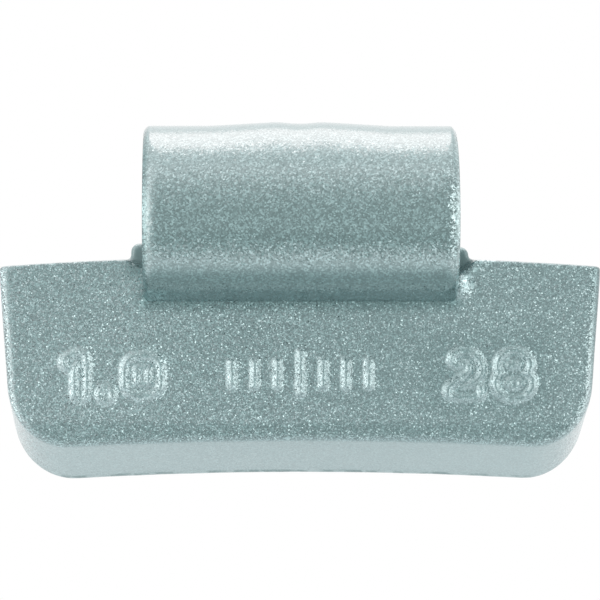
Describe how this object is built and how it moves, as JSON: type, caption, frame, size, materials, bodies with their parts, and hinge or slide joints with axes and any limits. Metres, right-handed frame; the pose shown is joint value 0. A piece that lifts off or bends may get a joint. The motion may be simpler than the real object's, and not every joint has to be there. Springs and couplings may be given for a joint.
{
  "type": "wheel balance weight",
  "caption": "Clip-on wheel balance weight: a flat-faced cast zinc bar, arched to follow the rim, with a bowed spring-steel clip that hooks over the rim's lip.",
  "frame": {"origin": "middle of the flat back face, which lies against the rim flange", "axes": "+X along the rim, +Y out of the back face towards the wheel, +Z outwards from the axle, with the clip at the top"},
  "size_m": [0.0424, 0.0135, 0.0251],
  "materials": {
    "coated_zinc": "silver-grey metallic flake coat over cast zinc, satin with fine sparkle",
    "coated_steel": "silver-grey metallic flake coat over spring steel, satin and slightly smoother than the casting"
  },
  "bodies": {
    "root": {"weight_body": "coated_zinc", "rim_clip": "coated_steel"}
  },
  "joints": []
}
